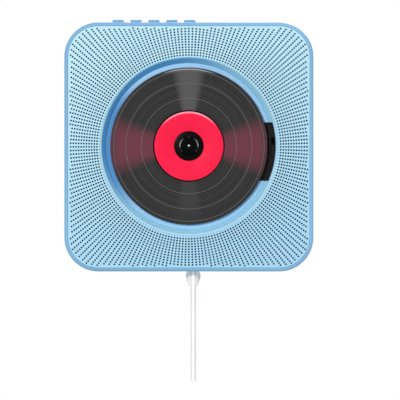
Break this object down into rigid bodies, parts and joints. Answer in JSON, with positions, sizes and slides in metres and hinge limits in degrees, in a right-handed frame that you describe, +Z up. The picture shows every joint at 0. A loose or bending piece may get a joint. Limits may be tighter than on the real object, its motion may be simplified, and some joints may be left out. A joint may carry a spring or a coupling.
{
  "type": "wall mounted CD player",
  "caption": "Square pale blue wall mounted disc player with a perforated front, a round open disc well, push buttons on the top edge and a pull cord below.",
  "frame": {"origin": "centre of the four wall screw holes, on the wall's face, which is also the body's centre", "axes": "+X to the right seen from the front, +Y into the wall, +Z up; the front faces -Y"},
  "size_m": [0.19, 0.042, 0.2757],
  "materials": {
    "blue_frame": "satin pale blue",
    "blue_panel": "satin pale sky blue",
    "blue_buttons": "satin mid blue",
    "black_plastic": "matt black",
    "black_felt": "matt black",
    "turntable_black": "gloss black",
    "disc_black": "gloss black, fine grooves",
    "label_red": "gloss pink-red print",
    "dark_rubber": "matt",
    "steel": "zinc plated",
    "bright_steel": "polished",
    "galvanised": "galvanised sheet",
    "motor_can": "satin",
    "magnet_grey": "dull grey",
    "basket_black": "black lacquer",
    "cone_black": "matt black paper",
    "sled_blue_black": "matt",
    "lens_glass": "clear, blue coat",
    "white_nylon": "natural nylon",
    "brass_pinion": "turned",
    "board_green": "green lacquer",
    "chip_black": "matt",
    "switch_grey": "satin",
    "white_plastic": "satin white",
    "cord_white": "smooth woven cord"
  },
  "bodies": {
    "bracket": {"wall_bracket": "galvanised"},
    "housing": {"rear_cover": "blue_frame", "hanger_strip": "steel", "strip_screws": "steel", "rubber_pads": "dark_rubber", "case_screws": "steel", "front_frame": "blue_frame", "grille_panel": "blue_panel", "baffle": "black_plastic", "disc_well": "blue_frame", "well_screws": "steel", "speaker_basket_left": "basket_black", "speaker_cone_left": "cone_black", "speaker_magnet_left": "magnet_grey", "speaker_basket_right": "basket_black", "speaker_cone_right": "cone_black", "speaker_magnet_right": "magnet_grey", "deck_cover": "black_plastic", "deck_chassis": "galvanised", "deck_dampers": "dark_rubber", "deck_screws": "steel", "spindle_motor": "motor_can", "guide_rods": "bright_steel", "gear_pin": "bright_steel", "sled_motor": "motor_can", "main_board": "board_green", "board_parts": "chip_black", "board_screws": "steel", "usb_port": "steel", "audio_jack": "black_plastic", "dc_jack": "black_plastic", "button_board": "board_green", "tact_switches": "switch_grey", "cord_grommet": "white_plastic", "pull_switch": "black_plastic", "switch_screws": "steel"},
    "turntable": {"spindle_shaft": "bright_steel", "turntable": "turntable_black", "turntable_pad": "black_felt", "chuck_jaws": "black_plastic"},
    "disc": {"disc": "disc_black", "disc_label": "label_red"},
    "pickup": {"pickup_sled": "sled_blue_black", "objective_lens": "lens_glass", "sled_rack": "white_nylon"},
    "drive_gear": {"drive_gear": "white_nylon"},
    "motor_pinion": {"motor_pinion": "brass_pinion"},
    "pull": {"pull_stem": "white_plastic", "pull_cord": "cord_white"},
    "button_1": {"button_1": "blue_buttons"},
    "button_2": {"button_2": "blue_buttons"},
    "button_3": {"button_3": "blue_buttons"},
    "button_4": {"button_4": "blue_buttons"},
    "button_5": {"button_5": "blue_buttons"}
  },
  "joints": [
    {"name": "unhook", "type": "slide", "parent": "bracket", "child": "housing", "axis": [0, 0, 1], "range_m": [0, 0.008]},
    {"name": "turntable_spin", "type": "hinge", "parent": "housing", "child": "turntable", "pos_m": [0, -0.0357, 0.0007], "axis": [0, -1, 0], "continuous": true},
    {"name": "disc_lift", "type": "slide", "parent": "turntable", "child": "disc", "axis": [0, -1, 0], "range_m": [0, 0.03]},
    {"name": "pickup_slide", "type": "slide", "parent": "housing", "child": "pickup", "axis": [1, 0, 0], "range_m": [0, 0.034]},
    {"name": "drive_gear_spin", "type": "hinge", "parent": "housing", "child": "drive_gear", "pos_m": [0.041, -0.0225, -0.02222], "axis": [0, 1, 0], "range_deg": [0, 410]},
    {"name": "motor_pinion_spin", "type": "hinge", "parent": "housing", "child": "motor_pinion", "pos_m": [0.02828, -0.0217, -0.02222], "axis": [0, 1, 0], "range_deg": [-1305, 0]},
    {"name": "button_1_press", "type": "slide", "parent": "housing", "child": "button_1", "axis": [0, 0, -1], "range_m": [0, 0.0008], "stiffness_N_per_m": 400, "springref_m": -0.0005},
    {"name": "button_2_press", "type": "slide", "parent": "housing", "child": "button_2", "axis": [0, 0, -1], "range_m": [0, 0.0008], "stiffness_N_per_m": 400, "springref_m": -0.0005},
    {"name": "button_3_press", "type": "slide", "parent": "housing", "child": "button_3", "axis": [0, 0, -1], "range_m": [0, 0.0008], "stiffness_N_per_m": 400, "springref_m": -0.0005},
    {"name": "button_4_press", "type": "slide", "parent": "housing", "child": "button_4", "axis": [0, 0, -1], "range_m": [0, 0.0008], "stiffness_N_per_m": 400, "springref_m": -0.0005},
    {"name": "button_5_press", "type": "slide", "parent": "housing", "child": "button_5", "axis": [0, 0, -1], "range_m": [0, 0.0008], "stiffness_N_per_m": 400, "springref_m": -0.0005},
    {"name": "pull", "type": "slide", "parent": "housing", "child": "pull", "axis": [0, 0, -1], "range_m": [0, 0.004], "stiffness_N_per_m": 150, "springref_m": -0.002}
  ],
  "couplings": [
    {"joint": "drive_gear_spin", "follows": "pickup_slide", "rad_per_m": 208.33},
    {"joint": "motor_pinion_spin", "follows": "pickup_slide", "rad_per_m": -666.67}
  ]
}
